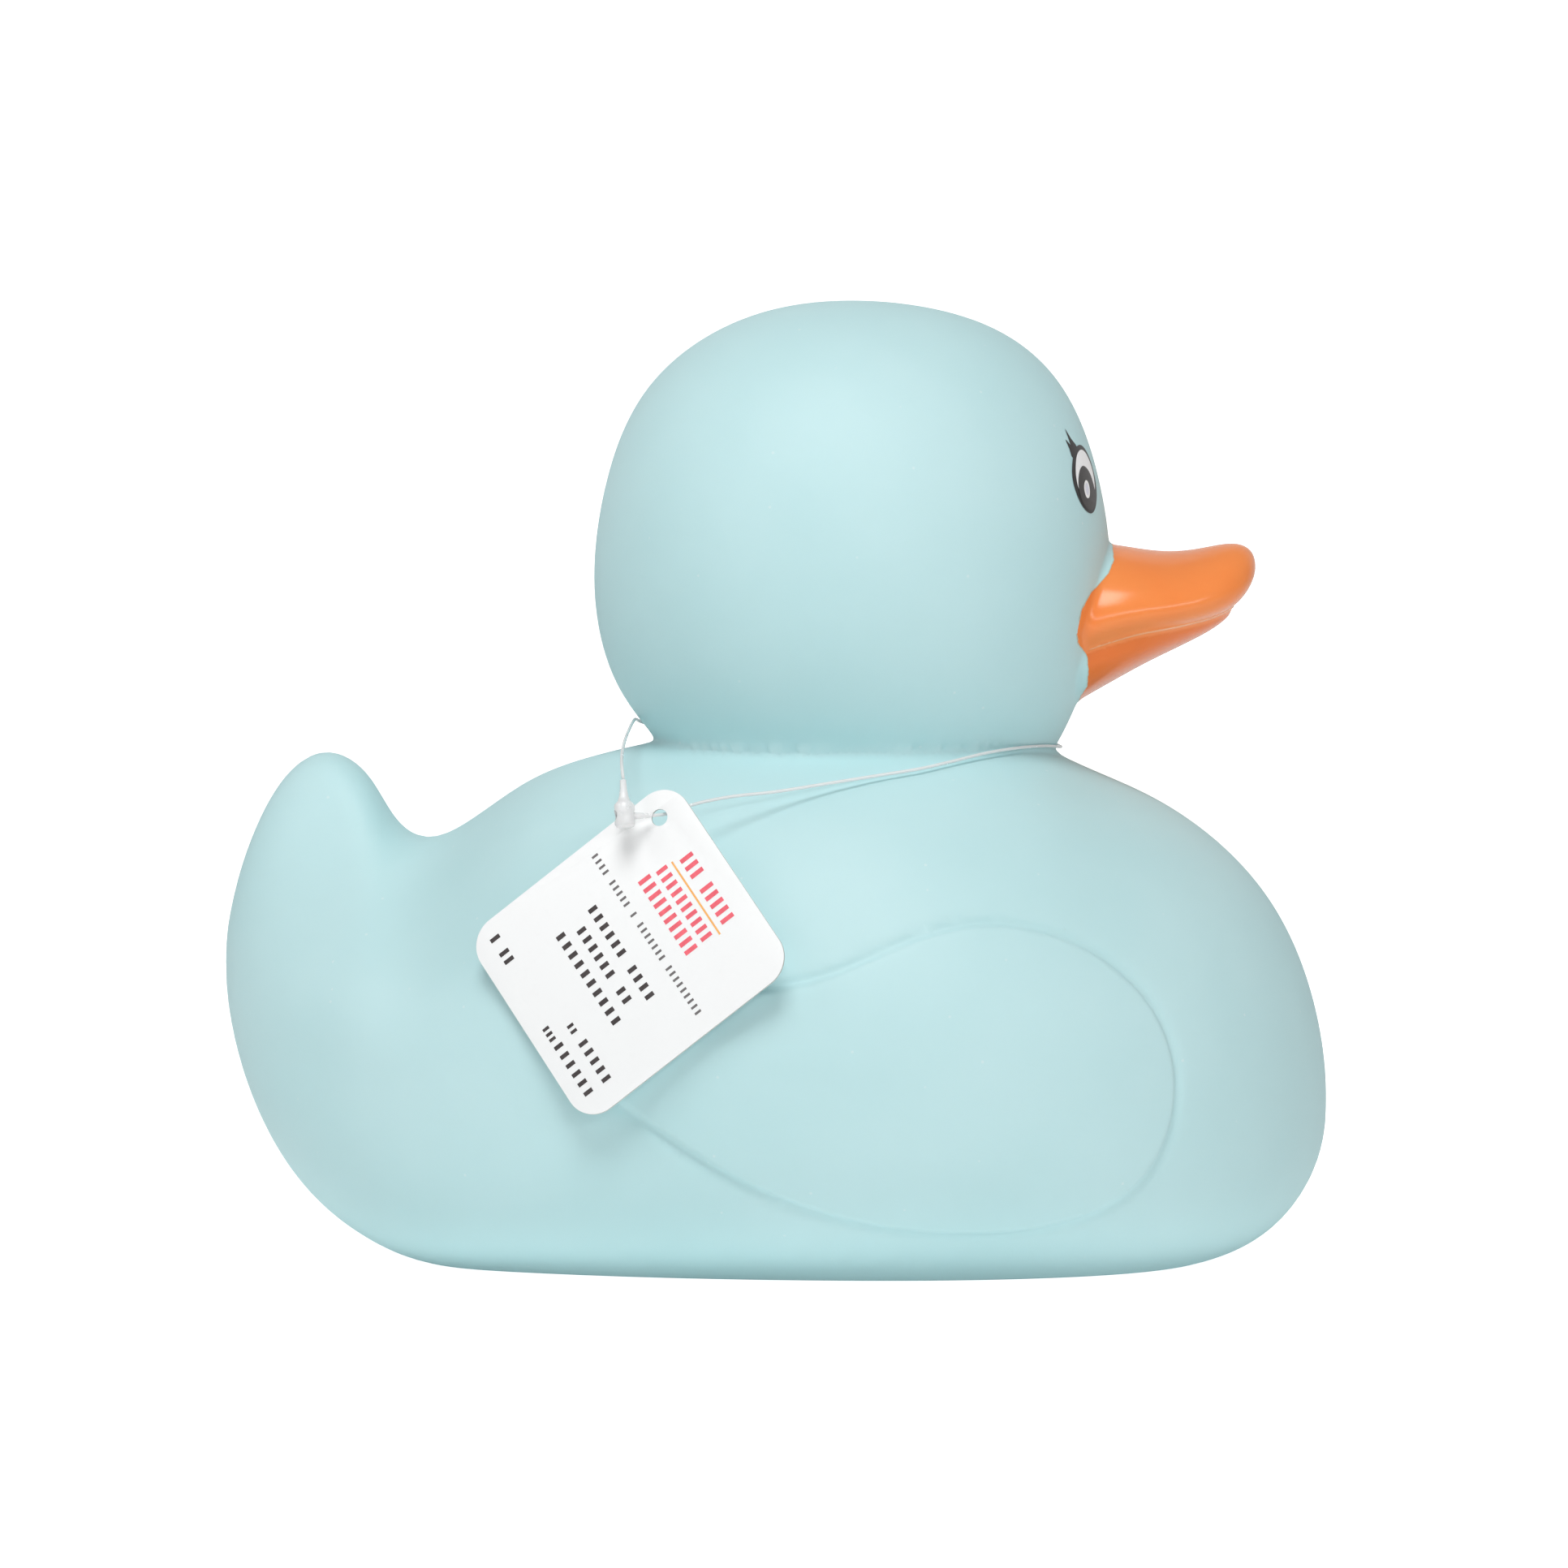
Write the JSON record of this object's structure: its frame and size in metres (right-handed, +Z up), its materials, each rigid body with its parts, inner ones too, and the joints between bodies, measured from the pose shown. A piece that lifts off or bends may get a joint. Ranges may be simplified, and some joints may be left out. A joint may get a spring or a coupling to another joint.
{
  "type": "rubber duck",
  "caption": "Hollow moulded vinyl bath duck with a ball head, raised wings, upswept tail, flat base with a squeaker, and a card hang tag on a nylon loop round its neck.",
  "frame": {"origin": "bottom centre of the duck, on the surface that it stands on, without the tag and its loop", "axes": "+X towards the beak, +Z up, and the plane Y = 0 is the duck's symmetry plane; the tag hangs on the -Y side"},
  "size_m": [0.2063, 0.1633, 0.1768],
  "materials": {
    "aqua_vinyl": "satin moulded vinyl, the beak painted orange and the eyes printed",
    "white_plastic": "moulded",
    "tag_card": "coated white card with plain coloured bars",
    "clear_nylon": "clear"
  },
  "bodies": {
    "root": {"duck_body": "aqua_vinyl", "squeaker": "white_plastic", "hang_tag": "tag_card", "tag_loop": "clear_nylon", "loop_socket": "clear_nylon", "loop_pin": "clear_nylon"}
  },
  "joints": []
}
